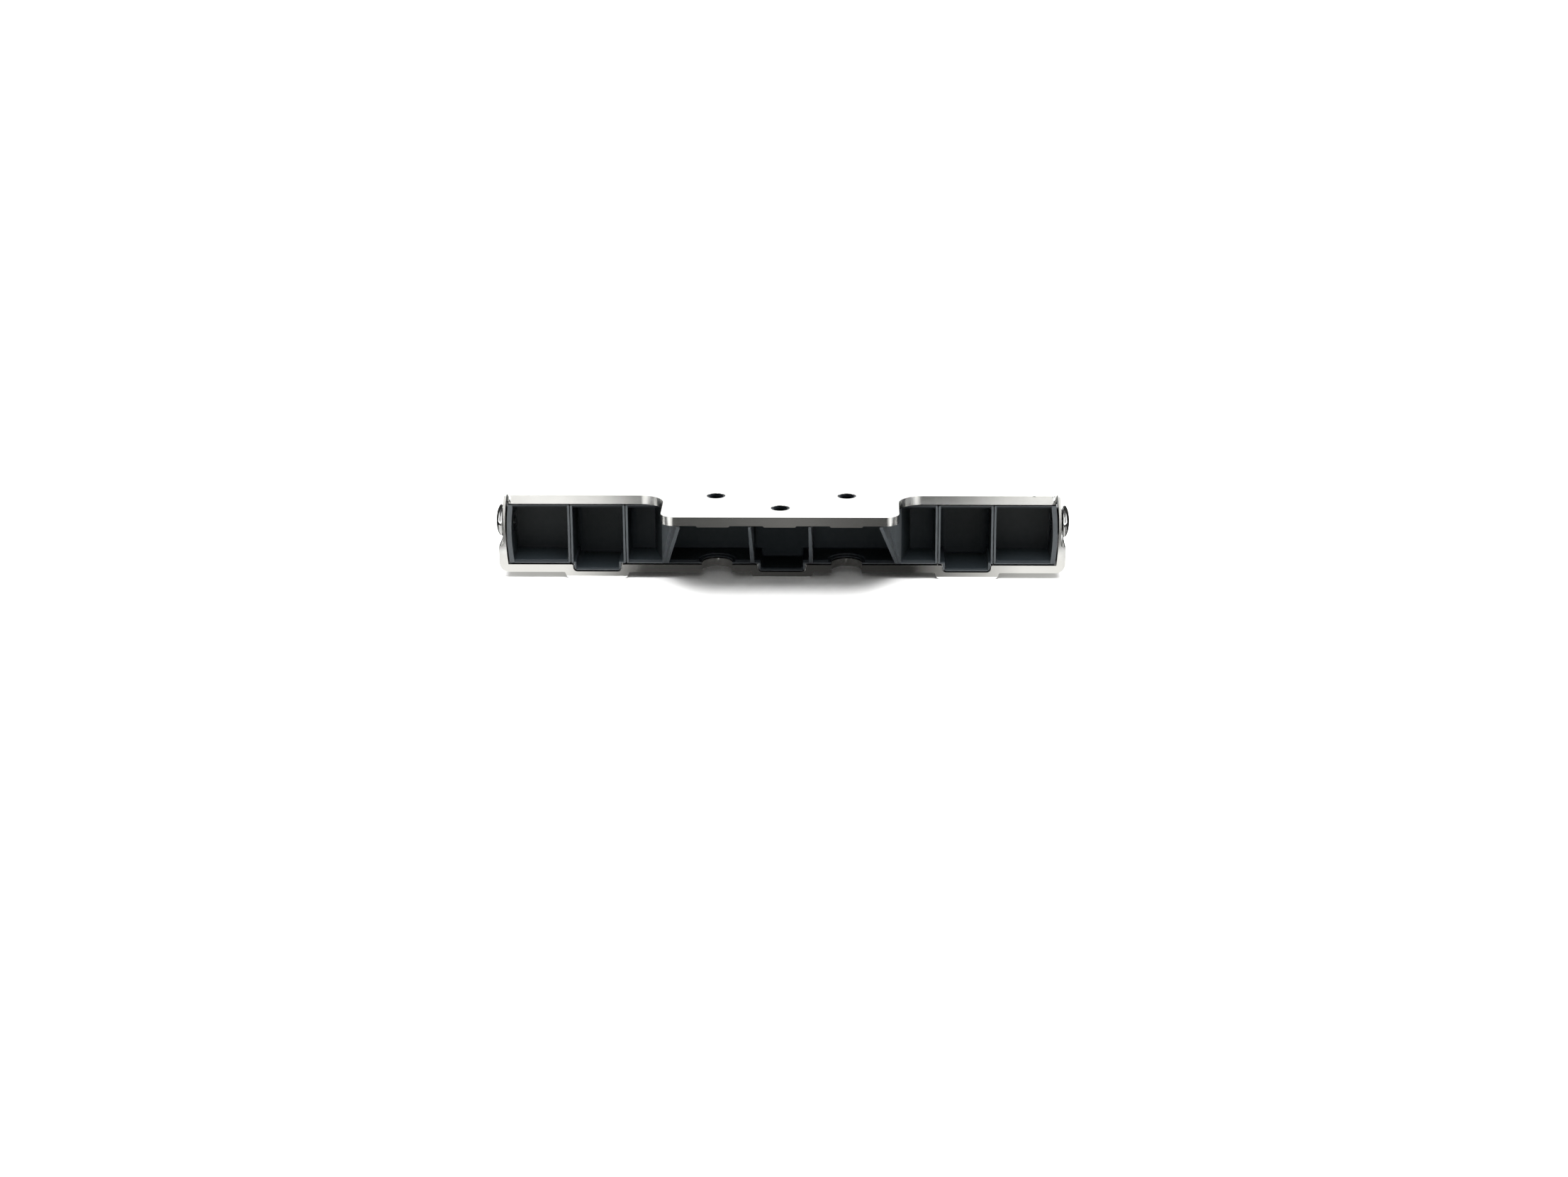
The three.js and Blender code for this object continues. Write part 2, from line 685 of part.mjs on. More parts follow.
function buttonBush() {
  return turnedX([
    [bushInnerR, clipSeatX],
    [bushOuterR, clipSeatX],
    [bushOuterR, flangeFromX],
    [flangeR, flangeFromX],
    [flangeR, flangeToX],
    [bushOuterR, flangeToX],
    [bushOuterR, wallOuterX],
    [bushInnerR, wallOuterX],
    [bushInnerR, clipSeatX],
  ]);
}

function retainingClip() {
  const ring = turnedX([
    [clipInnerR, clipFromX],
    [clipOuterR, clipFromX],
    [clipOuterR, clipToX],
    [clipInnerR, clipToX],
    [clipInnerR, clipFromX],
  ], 24);
  const mouth = block(clipFromX - 1, -clipMouthHalf, -headR, clipToX + 1, clipMouthHalf, 0);
  return geometryOf(solid(ring).subtract(mouth));
}

// ---- clamp screws ------------------------------------------------------------------------------

function clampScrew() {
  const lowZ = footDrop + clampHeadLift;
  const head = upright(clampHeadR, 0, 0, lowZ, lowZ + clampHeadHeight, clampShankR);
  const shank = upright(clampShankR, 0, 0, lowZ + clampSocketDepth, clampTipZ, clampShankR, 16);
  const socket = upright(clampSocketR, 0, 0, lowZ - 1, lowZ + clampSocketDepth, clampSocketR, 6);
  return geometryOf(head.add(shank).subtract(socket));
}

// ---- the carriage ------------------------------------------------------------------------------

const carriage = new THREE.Group();

function place(name, geometry, material, x = 0, y = 0, z = 0, turn = 0) {
  const mesh = new THREE.Mesh(geometry, material());
  mesh.name = name;
  mesh.position.set(x, y, z);
  mesh.rotation.z = turn;
  carriage.add(mesh);
}

place('top_plate', topPlate(), satinAluminium);
place('tray', tray(), satinAluminium);
place('middle_moulding', middleMoulding(), blackPlastic);
for (const [name, x, y] of mountingHoles) {
  place(`${name}_thread_insert`, threadInsert(x, y), blackSteel);
}
for (const [name, x] of clampPlaces) {
  place(`${name}_clamp_screw`, clampScrew(), zincSteel, x, clampY);
}
for (const [name, side] of [['left', -1], ['right', 1]]) {
  const turn = side > 0 ? 0 : Math.PI;
  place(`${name}_end_box`, endBox(side), blackPlastic);
  place(`${name}_runner_box`, runnerBox(side), blackPlastic);
  place(`${name}_glide_button`, glideButton(), chrome, 0, buttonY, buttonZ, turn);
  place(`${name}_spring_washer`, springWasher(), springSteel, 0, buttonY, buttonZ, turn);
  place(`${name}_button_bush`, buttonBush(), glidePlastic, 0, buttonY, buttonZ, turn);
  place(`${name}_retaining_clip`, retainingClip(), springSteel, 0, buttonY, buttonZ, turn);
}

export default carriage;
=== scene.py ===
"""Looks for the linear guide carriage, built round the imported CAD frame.

The plate, tray and mouldings are the CAD solids with deburred edges. The small turned parts are
replaced by finer meshes. Everything is in metres, in the CAD's frame: +Z up, mounting tongue to -Y.
"""

import math

import bpy
from mathutils import Matrix, Vector


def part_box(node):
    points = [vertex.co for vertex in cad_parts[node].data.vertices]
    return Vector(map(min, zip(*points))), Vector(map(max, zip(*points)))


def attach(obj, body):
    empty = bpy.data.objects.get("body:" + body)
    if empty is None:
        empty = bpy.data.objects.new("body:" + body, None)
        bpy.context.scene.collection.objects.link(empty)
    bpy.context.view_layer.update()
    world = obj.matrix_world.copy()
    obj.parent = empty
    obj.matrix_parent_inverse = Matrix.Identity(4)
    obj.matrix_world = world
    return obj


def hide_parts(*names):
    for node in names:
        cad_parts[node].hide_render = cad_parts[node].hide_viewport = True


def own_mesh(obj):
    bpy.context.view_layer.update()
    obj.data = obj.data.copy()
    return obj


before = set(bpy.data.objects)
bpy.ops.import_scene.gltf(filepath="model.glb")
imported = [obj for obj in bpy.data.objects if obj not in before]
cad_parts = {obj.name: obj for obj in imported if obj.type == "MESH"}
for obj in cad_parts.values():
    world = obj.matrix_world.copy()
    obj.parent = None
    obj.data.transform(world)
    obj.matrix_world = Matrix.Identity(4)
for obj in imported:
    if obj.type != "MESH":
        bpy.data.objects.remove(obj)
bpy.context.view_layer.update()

MM = 0.001

# ---- places taken from the frame -----------------------------------------------------------------

plate_low, plate_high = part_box("top_plate")
tray_low, tray_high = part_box("tray")
floor_z = tray_low.z
body_front_y = tray_low.y
body_back_y = tray_high.y


def middle(node):
    low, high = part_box(node)
    return (low + high) / 2


# ---- camera --------------------------------------------------------------------------------------

CAMERA_DISTANCE = 0.52
LENS_MM = 65.85
VIEW_ELEVATION = math.radians(16.39)
VIEW_YAW = math.radians(-1.51)
LOOK_ELEVATION = math.radians(18.24)  # the camera looks a little below the carriage
LOOK_YAW = math.radians(-1.465)
ROLL = math.radians(-0.29)


def direction(elevation, yaw):
    level = Vector((math.sin(yaw), math.cos(yaw), 0)) * math.cos(elevation)
    return level - Vector((0, 0, math.sin(elevation)))


def make_camera():
    forward = direction(LOOK_ELEVATION, LOOK_YAW)
    level = Vector((math.cos(LOOK_YAW), -math.sin(LOOK_YAW), 0))
    upright = level.cross(forward)
    right = level * math.cos(ROLL) + upright * math.sin(ROLL)
    up = upright * math.cos(ROLL) - level * math.sin(ROLL)
    aim = Vector((0, body_front_y, plate_high.z))
    turn = Matrix((right, up, -forward)).transposed().to_4x4()
    data = bpy.data.cameras.new("camera")
    data.lens = LENS_MM
    data.clip_start = 0.01
    data.clip_end = 20
    camera = bpy.data.objects.new("camera", data)
    bpy.context.collection.objects.link(camera)
    place = aim - direction(VIEW_ELEVATION, VIEW_YAW) * CAMERA_DISTANCE
    camera.matrix_world = Matrix.Translation(place) @ turn
    bpy.context.scene.camera = camera


# ---- material helpers ----------------------------------------------------------------------------


def maths_node(tree, operation, first, second):
    """A maths node whose two inputs are each a number or another node's output."""
    made = tree.nodes.new("ShaderNodeMath")
    made.operation = operation
    for socket, value in zip(made.inputs, (first, second)):
        if isinstance(value, (int, float)):
            socket.default_value = value
        else:
            tree.links.new(value, socket)
    return made.outputs["Value"]


class Shader:
    """A Principled material under construction, with short calls for the nodes it needs."""

    def __init__(self, name):
        self.material = bpy.data.materials.new(name)
        self.material.use_nodes = True
        self.tree = self.material.node_tree
        self.surface = self.tree.nodes["Principled BSDF"]
        self.place = self.node("ShaderNodeTexCoord").outputs["Object"]

    def node(self, kind, **settings):
        made = self.tree.nodes.new(kind)
        for key, value in settings.items():
            setattr(made, key, value)
        return made

    def link(self, source, target):
        self.tree.links.new(source, target)

    def set(self, **values):
        for key, value in values.items():
            self.surface.inputs[key.replace("_", " ")].default_value = value

    def stretched(self, scale):
        """Object coordinates, squeezed by a different amount along each axis."""
        mapping = self.node("ShaderNodeMapping")
        mapping.inputs["Scale"].default_value = scale
        self.link(self.place, mapping.inputs["Vector"])
        return mapping.outputs["Vector"]

    def noise(self, scale, detail=4.0, roughness=0.6, vector=None):
        made = self.node("ShaderNodeTexNoise")
        made.inputs["Scale"].default_value = scale
        made.inputs["Detail"].default_value = detail
        made.inputs["Roughness"].default_value = roughness
        self.link(vector or self.place, made.inputs["Vector"])
        return made.outputs["Fac"]

    def span(self, value, low, high, source_low=0.3, source_high=0.7):
        """Maps a value onto a new range."""
        made = self.node("ShaderNodeMapRange")
        made.inputs["From Min"].default_value = source_low
        made.inputs["From Max"].default_value = source_high
        made.inputs["To Min"].default_value = low
        made.inputs["To Max"].default_value = high
        self.link(value, made.inputs["Value"])
        return made.outputs["Result"]

    def maths(self, operation, first, second):
        return maths_node(self.tree, operation, first, second)

    def mix(self, factor, dark, light):
        made = self.node("ShaderNodeMixRGB")
        self.link(factor, made.inputs["Fac"])
        made.inputs["Color1"].default_value = (*dark, 1)
        made.inputs["Color2"].default_value = (*light, 1)
        return made.outputs["Color"]

    def bump(self, height, depth, strength):
        made = self.node("ShaderNodeBump")
        made.inputs["Strength"].default_value = strength
        made.inputs["Distance"].default_value = depth
        self.link(height, made.inputs["Height"])
        return made.outputs["Normal"]

    def use(self, **sources):
        for key, source in sources.items():
            self.link(source, self.surface.inputs[key.replace("_", " ")])
        return self.material


# ---- materials -----------------------------------------------------------------------------------


LIT_FRONT_DEPTH = 0.17 * MM  # the mouldings' front edges are painted lighter, as if lit, this far behind the metal's front
LIT_FRONT_BLEND = 0.06 * MM
FRONT_EDGE_POLISH = 0.2  # how much less rough the front edges are; their colour is painted lighter there as if lit


def satin_metal():
    s = Shader("satin_metal")
    s.set(Metallic=1.0)
    grain = s.noise(1.0, 3.0, 0.7, s.stretched((300, 9000, 9000)))
    clouds = s.noise(45.0, 3.0)
    handling = s.noise(260.0, 5.0, 0.7)
    colour = s.mix(s.span(clouds, 0, 1), (0.86, 0.865, 0.85), (0.9, 0.905, 0.89))
    rough = s.maths("ADD", s.span(handling, 0.19, 0.23), s.span(grain, -0.015, 0.015))
    return s.use(Base_Color=colour, Roughness=rough, Normal=s.bump(grain, 0.0012 * MM, 0.5))


def black_plastic():
    """Moulded black plastic, coarse inside the pockets and smoother on its front edges, which carry a
    painted highlight: a lighter colour, as if lit.
    """
    s = Shader("black_plastic")
    s.set(IOR=1.42)
    spark = s.noise(5200.0, 3.0, 0.6)
    flow = s.noise(70.0, 4.0, 0.65, s.stretched((1, 2.5, 0.6)))
    dust = s.noise(900.0, 6.0, 0.75)
    split = s.node("ShaderNodeSeparateXYZ")
    s.link(s.place, split.inputs[0])
    # painted highlight: faces near the front get a lighter colour, as if lit, than the plastic deeper
    # in the pockets
    lit_front_from = body_front_y + LIT_FRONT_DEPTH
    painted_light_front = s.span(split.outputs["Y"], 0, 1, lit_front_from + LIT_FRONT_BLEND, lit_front_from)
    inside = s.mix(s.span(flow, 0, 1), (0.0085, 0.0112, 0.0132), (0.0115, 0.0145, 0.017))
    # painted highlight: the lighter colour of the lit front faces, varied at random
    edges = s.mix(s.span(dust, 0, 1), (0.036, 0.041, 0.045), (0.048, 0.054, 0.058))
    tone = s.node("ShaderNodeMixRGB")
    s.link(painted_light_front, tone.inputs["Fac"])
    s.link(inside, tone.inputs["Color1"])
    s.link(edges, tone.inputs["Color2"])
    coarse = s.maths("ADD", s.span(flow, 0.56, 0.64), s.span(dust, -0.03, 0.05))
    rough = s.maths("SUBTRACT", coarse, s.maths("MULTIPLY", painted_light_front, FRONT_EDGE_POLISH))
    return s.use(
        Base_Color=tone.outputs["Color"], Roughness=rough, Normal=s.bump(spark, 0.005 * MM, 0.45)
    )


def turned_metal(name, dark, light, rough_low, rough_high, axis):
    """Metal with fine concentric tool marks round an axis through the given point."""
    s = Shader(name)
    s.set(Metallic=1.0)
    shifted = s.node("ShaderNodeVectorMath", operation="SUBTRACT")
    shifted.inputs[1].default_value = axis
    s.link(s.place, shifted.inputs[0])
    split = s.node("ShaderNodeSeparateXYZ")
    s.link(shifted.outputs[0], split.inputs[0])
    squared = [s.maths("POWER", split.outputs[a], 2.0) for a in ("Y", "Z")]
    distance = s.maths("SQRT", s.maths("ADD", *squared), 0.0)
    rings = s.node("ShaderNodeCombineXYZ")
    s.link(distance, rings.inputs["X"])
    marks = s.noise(30000.0, 2.0, 0.5, rings.outputs["Vector"])
    smear = s.noise(420.0, 4.0, 0.65)
    rough = s.maths("ADD", s.span(smear, rough_low, rough_high), s.span(marks, -0.015, 0.015))
    colour = s.mix(s.span(smear, 0, 1), dark, light)
    return s.use(Base_Color=colour, Roughness=rough, Normal=s.bump(marks, 0.0006 * MM, 0.5))


def plated_metal(name, dark, light, rough_low, rough_high):
    """Plated or hardened steel: cloudy tint, fine pitting."""
    s = Shader(name)
    s.set(Metallic=1.0)
    tint = s.noise(380.0, 4.0, 0.6)
    pits = s.noise(9000.0, 2.0, 0.5)
    colour = s.mix(s.span(tint, 0, 1), dark, light)
    rough = s.span(tint, rough_low, rough_high)
    return s.use(Base_Color=colour, Roughness=rough, Normal=s.bump(pits, 0.003 * MM, 0.4))


def glide_plastic():
    s = Shader("glide_plastic")
    s.set(IOR=1.5)
    flecks = s.noise(3000.0, 3.0, 0.6)
    colour = s.mix(s.span(flecks, 0, 1), (0.024, 0.025, 0.027), (0.04, 0.041, 0.044))
    rough = s.span(flecks, 0.3, 0.4)
    return s.use(Base_Color=colour, Roughness=rough, Normal=s.bump(flecks, 0.002 * MM, 0.4))


SATIN = satin_metal()
BLACK = black_plastic()
GLIDE = glide_plastic()
ZINC = plated_metal("zinc_steel", (0.46, 0.47, 0.5), (0.6, 0.6, 0.58), 0.24, 0.36)
SPRING = plated_metal("spring_steel", (0.09, 0.095, 0.115), (0.15, 0.15, 0.165), 0.26, 0.38)
OXIDE = plated_metal("black_steel", (0.02, 0.026, 0.036), (0.05, 0.058, 0.07), 0.3, 0.45)
BUTTON_AXIS = middle("left_glide_button")
POLISHED = turned_metal(
    "polished_steel", (0.8, 0.81, 0.82), (0.88, 0.885, 0.89), 0.05, 0.11, (0, *BUTTON_AXIS.yz)
)


def dress(piece, material):
    piece.data.materials.clear()
    piece.data.materials.append(material)


# ---- CAD solids that stay ------------------------------------------------------------------------


METAL_EDGE = 0.1 * MM
MOULDED_EDGE = 0.07 * MM
EDGE_STEPS = 2
SHARP_FROM = math.radians(32)  # edges that turn more than this are broken


def smooth_edges(piece, width):
    """Breaks the sharp edges of a solid, as deburring or a mould does."""
    for face in piece.data.polygons:
        face.use_smooth = True
    weld = piece.modifiers.new("weld", "WELD")
    weld.merge_threshold = 0.001 * MM
    flat = piece.modifiers.new("flat_faces", "DECIMATE")
    flat.decimate_type = "DISSOLVE"
    flat.angle_limit = math.radians(1)
    bevel = piece.modifiers.new("broken_edges", "BEVEL")
    bevel.width = width
    bevel.segments = EDGE_STEPS
    bevel.limit_method = "ANGLE"
    bevel.angle_limit = SHARP_FROM
    bevel.harden_normals = True
    normals = piece.modifiers.new("normals", "WEIGHTED_NORMAL")
    normals.weight = 100


def dress_cad():
    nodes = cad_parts
    for name in ("top_plate", "tray"):
        dress(nodes[name], SATIN)
        smooth_edges(nodes[name], METAL_EDGE)
    mouldings = ["middle_moulding"]
    mouldings += [f"{side}_{box}" for side in ("left", "right") for box in ("end_box", "runner_box")]
    for name in mouldings:
        dress(nodes[name], BLACK)
        smooth_edges(nodes[name], MOULDED_EDGE)


# ---- turned pieces -------------------------------------------------------------------------------


def plain(radius):
    return lambda angle: radius


def hexagon(across_flats):
    """A ring with six flats."""
    step = math.pi / 3

    def radius(angle):
        return across_flats / 2 / math.cos((angle % step) - step / 2)

    return radius


def threaded(crest, depth, pitch, height):
    """One slice of a screw thread, taken at a height along it."""

    def radius(angle):
        phase = (height / pitch - angle / math.tau) % 1
        return crest + depth * (abs(2 * phase - 1) - 1)

    return radius


def rings_mesh(name, rings, sides, closed=False):
    """Joins (radius function, height) rings, about Z. A ring of None is a single middle point."""
    points = []
    rows = []
    for radius, height in rings:
        start = len(points)
        if radius is None:
            points.append((0, 0, height))
            rows.append([start] * sides)
            continue
        for k in range(sides):
            angle = math.tau * k / sides
            distance = radius(angle)
            points.append((distance * math.cos(angle), distance * math.sin(angle), height))
        rows.append(list(range(start, start + sides)))
    faces = []
    pairs = list(zip(rows, rows[1:]))
    if closed:
        pairs.append((rows[-1], rows[0]))
    for lower, upper in pairs:
        for k in range(sides):
            n = (k + 1) % sides
            corners = [lower[k], lower[n], upper[n], upper[k]]
            faces.append(list(dict.fromkeys(corners)))
    mesh = bpy.data.meshes.new(name)
    mesh.from_pydata(points, [], faces)
    mesh.validate()
    return mesh


def add_piece(name, mesh, material, body, node, transform, rounding=0.0):
    """Places a finer piece where its CAD solid is, on the same body."""
    mesh.transform(transform)
    for face in mesh.polygons:
        face.use_smooth = True
    piece = bpy.data.objects.new(name, mesh)
    bpy.context.collection.objects.link(piece)
    dress(piece, material)
    if rounding:
        bevel = piece.modifiers.new("rounding", "BEVEL")
        bevel.width = rounding
        bevel.segments = EDGE_STEPS
        bevel.limit_method = "ANGLE"
        bevel.angle_limit = math.radians(30)
        bevel.harden_normals = True
    else:
        mesh.set_sharp_from_angle(angle=SHARP_FROM)
    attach(piece, body)
    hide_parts(node)
    return piece


def round_profile(profile):
    return [(plain(radius) if radius else None, height) for radius, height in profile]


# ---- glide buttons and what holds them -----------------------------------------------------------

HEAD_RIM = 0.25 * MM  # straight rim below the dome
BREAK = 0.15 * MM  # chamfers on the button
GROOVE_DEPTH = 0.3 * MM
DOME_STEPS = 20
BUTTON_SIDES = 96
SMALL_SIDES = 64
SLACK = 0.02 * MM
CUP_DEPTH = 0.4 * MM
CUP_R = 2.6 * MM
WASHER_THICK = 0.13 * MM
WASHER_GAP = 0.08 * MM
STAMPED_EDGE = 0.03 * MM  # rounding on the washers and clips
BUSH_R = 1.6 * MM
BUSH_BORE_R = 1.15 * MM
BUSH_EDGE = 0.04 * MM
FLANGE_START = 0.4 * MM  # from the bush's inner end to its flange
FLANGE_THICK = 0.17 * MM
CLIP_BORE_R = 0.82 * MM  # at the tips of the clip's teeth
CLIP_HOLLOW_R = 1.15 * MM  # between them
CLIP_MOUTH = 0.36  # half the angle of the clip's opening, in radians
CLIP_END = 0.62  # the two end teeth reach this far round, in radians
CLIP_TOOTH = 0.35
CLIP_STEPS = 56


def outward(side):
    """Turns a piece drawn along +Z so that it points out of the left or right end wall."""
    sign = 1 if side == "right" else -1
    across = Matrix(((0, 0, sign, 0), (1, 0, 0, 0), (0, sign, 0, 0), (0, 0, 0, 1)))
    return Matrix.Translation(Vector((0, *BUTTON_AXIS.yz))) @ across


def reach(node):
    """How far a node on the right-hand end reaches along X, nearest and furthest."""
    low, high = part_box(node)
    return low.x, high.x


def half_height(node):
    low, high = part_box(node)
    return (high.z - low.z) / 2


def add_glide_button(side):
    tip, crown = reach("right_glide_button")
    clip_from, clip_to = reach("right_retaining_clip")
    head_r = half_height("right_glide_button")
    stem_r = head_r / 3
    cup = reach("right_spring_washer")[1] + WASHER_GAP
    under = cup - CUP_DEPTH
    rim = under + HEAD_RIM
    groove_r = stem_r - GROOVE_DEPTH
    profile = [(0, tip), (stem_r - BREAK, tip), (stem_r, tip + BREAK)]
    profile += [(stem_r, clip_from - SLACK), (groove_r, clip_from - SLACK)]
    profile += [(groove_r, clip_to + SLACK), (stem_r, clip_to + SLACK)]
    profile += [(stem_r, cup), (CUP_R, cup), (CUP_R, under), (head_r - BREAK, under)]
    profile.append((head_r, under + BREAK))
    for k in range(DOME_STEPS):
        angle = k / DOME_STEPS * math.pi / 2
        profile.append((head_r * math.cos(angle), rim + (crown - rim) * math.sin(angle)))
    profile.append((0, crown))
    mesh = rings_mesh(f"{side}_button_mesh", round_profile(profile), BUTTON_SIDES)
    node = f"{side}_glide_button"
    body = f"{side}_button"
    name = f"{side}_button_turned"
    add_piece(name, mesh, POLISHED, body, node, outward(side))


def add_spring_washer(side):
    low, high = reach("right_spring_washer")
    outer_r = half_height("right_spring_washer")
    inner_r = outer_r / 2
    profile = [(outer_r, low), (outer_r, low + WASHER_THICK), (inner_r, high)]
    profile.append((inner_r, high - WASHER_THICK))
    mesh = rings_mesh(f"{side}_washer_mesh", round_profile(profile), SMALL_SIDES, closed=True)
    node = f"{side}_spring_washer"
    name = f"{side}_washer_coned"
    turn = outward(side)
    piece = add_piece(name, mesh, SPRING, "carriage", node, turn, STAMPED_EDGE)
    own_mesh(piece)


def add_bush(side):
    low, high = reach("right_button_bush")
    flange_r = half_height("right_button_bush")
    flange_from = low + FLANGE_START
    flange_to = flange_from + FLANGE_THICK
    profile = [(BUSH_BORE_R, low), (BUSH_R, low), (BUSH_R, flange_from), (flange_r, flange_from)]
    profile += [(flange_r, flange_to), (BUSH_R, flange_to), (BUSH_R, high), (BUSH_BORE_R, high)]
    mesh = rings_mesh(f"{side}_bush_mesh", round_profile(profile), SMALL_SIDES, closed=True)
    node = f"{side}_button_bush"
    name = f"{side}_bush_moulded"
    add_piece(name, mesh, GLIDE, "carriage", node, outward(side), BUSH_EDGE)


def add_clip(side):
    """A flat C-shaped clip with three teeth that reach into the stem's groove."""
    low, high = reach("right_retaining_clip")
    clip_low, clip_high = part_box("right_retaining_clip")
    outer_r = (clip_high.y - clip_low.y) / 2
    sign = 1 if side == "right" else -1
    points = []
    for k in range(CLIP_STEPS + 1):
        turn = CLIP_MOUTH + (math.tau - 2 * CLIP_MOUTH) * k / CLIP_STEPS
        at_end = min(turn, math.tau - turn) < CLIP_END
        tooth = at_end or abs(math.sin(1.5 * (turn - math.pi))) < CLIP_TOOTH
        inner = CLIP_BORE_R if tooth else CLIP_HOLLOW_R
        angle = turn - sign * math.pi / 2
        for radius in (inner, outer_r):
            for height in (low, high):
                points.append((radius * math.cos(angle), radius * math.sin(angle), height))
    faces = [[0, 2, 3, 1], [4 * CLIP_STEPS + c for c in (0, 1, 3, 2)]]
    for k in range(CLIP_STEPS):
        a, b = 4 * k, 4 * k + 4
        faces.append([a, a + 1, b + 1, b])
        faces.append([a + 2, b + 2, b + 3, a + 3])
        faces.append([a, b, b + 2, a + 2])
        faces.append([a + 1, a + 3, b + 3, b + 1])
    mesh = bpy.data.meshes.new(f"{side}_clip_mesh")
    mesh.from_pydata(points, [], faces)
    node = f"{side}_retaining_clip"
    body = f"{side}_button"
    name = f"{side}_clip_stamped"
    add_piece(name, mesh, SPRING, body, node, outward(side), STAMPED_EDGE)


# ---- threaded parts ------------------------------------------------------------------------------

INSERT_PITCH = 0.5 * MM
SCREW_PITCH = 0.35 * MM
THREAD_SLICES = 8  # slices in one turn of a thread
THREAD_SIDES = 48
INSERT_NECK_R = 1.64 * MM
INSERT_MOUTH_R = 1.52 * MM
INSERT_THREAD_R = 1.5 * MM
INSERT_THREAD_DEPTH = 0.24 * MM
INSERT_NECK_LENGTH = 0.47 * MM  # how far the neck stands above the flange
INSERT_LEAD = 0.1 * MM
HEAD_EDGE = 0.08 * MM
SOCKET_DEPTH = 0.5 * MM
SOCKET_FLATS = 0.9 * MM
SCREW_THREADED = 3.0 * MM  # length of the threaded end
SCREW_THREAD_DEPTH = 0.16 * MM
SCREW_RUN_IN = 0.1 * MM
SCREW_TIP = 0.25 * MM


def thread_rings(crest, depth, pitch, start, end):
    """Rings of a screw thread, from one height to another, in either direction."""
    count = round(abs(end - start) / pitch * THREAD_SLICES)
    heights = [start + (end - start) * k / count for k in range(count + 1)]
    return [(threaded(crest, depth, pitch, height), height) for height in heights]


def add_thread_insert(place):
    node = f"{place}_thread_insert"
    low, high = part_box(node)
    centre = (low + high) / 2
    outer_r = (high.x - low.x) / 2
    lead = INSERT_LEAD
    top = high.z - low.z
    flange = top - INSERT_NECK_LENGTH
    profile = [(INSERT_MOUTH_R, 0), (outer_r - lead, 0), (outer_r, lead), (outer_r, flange - lead)]
    profile += [(outer_r - lead, flange), (INSERT_NECK_R, flange), (INSERT_NECK_R, top - lead / 2)]
    profile += [(INSERT_NECK_R - lead / 2, top), (INSERT_MOUTH_R, top)]
    rings = round_profile(profile)
    rings += thread_rings(INSERT_THREAD_R, INSERT_THREAD_DEPTH, INSERT_PITCH, top - lead, lead)
    mesh = rings_mesh(f"{place}_insert_mesh", rings, THREAD_SIDES, closed=True)
    shift = Matrix.Translation(Vector((centre.x, centre.y, low.z)))
    add_piece(f"{place}_insert_threaded", mesh, OXIDE, "carriage", node, shift)


def add_clamp_screw(place):
    node = f"{place}_clamp_screw"
    low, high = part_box(node)
    centre = (low + high) / 2
    head_r = (high.x - low.x) / 2
    shank_r = head_r / 2
    length = high.z - low.z
    flats = hexagon(SOCKET_FLATS)
    threads_from = length - SCREW_THREADED
    threads_start = threads_from + SCREW_RUN_IN
    threads_end = length - SCREW_TIP
    rings = [(None, SOCKET_DEPTH), (flats, SOCKET_DEPTH), (flats, 0)]
    rings += [(plain(head_r - HEAD_EDGE), 0), (plain(head_r), HEAD_EDGE)]
    rings += [(plain(shank_r), head_r - shank_r), (plain(shank_r), threads_from)]
    rings += thread_rings(shank_r, SCREW_THREAD_DEPTH, SCREW_PITCH, threads_start, threads_end)
    rings += [(plain(shank_r - SCREW_TIP), length), (None, length)]
    mesh = rings_mesh(f"{place}_screw_mesh", rings, THREAD_SIDES)
    shift = Matrix.Translation(Vector((centre.x, centre.y, low.z)))
    add_piece(f"{place}_screw_threaded", mesh, ZINC, "carriage", node, shift)


make_camera()
dress_cad()
for side in ("left", "right"):
    add_glide_button(side)
    add_spring_washer(side)
    add_bush(side)
    add_clip(side)
for place in ("left", "right", "front"):
    add_thread_insert(place)
for place in ("left_outer", "left_inner", "right_inner", "right_outer"):
    add_clamp_screw(place)


# ---- stage and light -----------------------------------------------------------------------------


def stage_plane(name, corners, material):
    mesh = bpy.data.meshes.new(name)
    mesh.from_pydata(corners, [], [[0, 1, 2, 3]])
    mesh.materials.append(material)
    piece = bpy.data.objects.new(name, mesh)
    bpy.context.collection.objects.link(piece)
    return piece


def floor_material():
    s = Shader("floor")
    s.set(Roughness=0.6)
    s.surface.inputs["Specular IOR Level"].default_value = 0.2
    mottle = s.noise(3.0, 2.0)
    return s.use(Base_Color=s.mix(s.span(mottle, 0, 1), (0.62, 0.62, 0.62), (0.65, 0.65, 0.65)))


FLOOR_HALF = 4.0


def make_floor():
    half = FLOOR_HALF
    corners = [(-half, -half, floor_z), (half, -half, floor_z), (half, half, floor_z)]
    corners.append((-half, half, floor_z))
    stage_plane("floor", corners, floor_material())


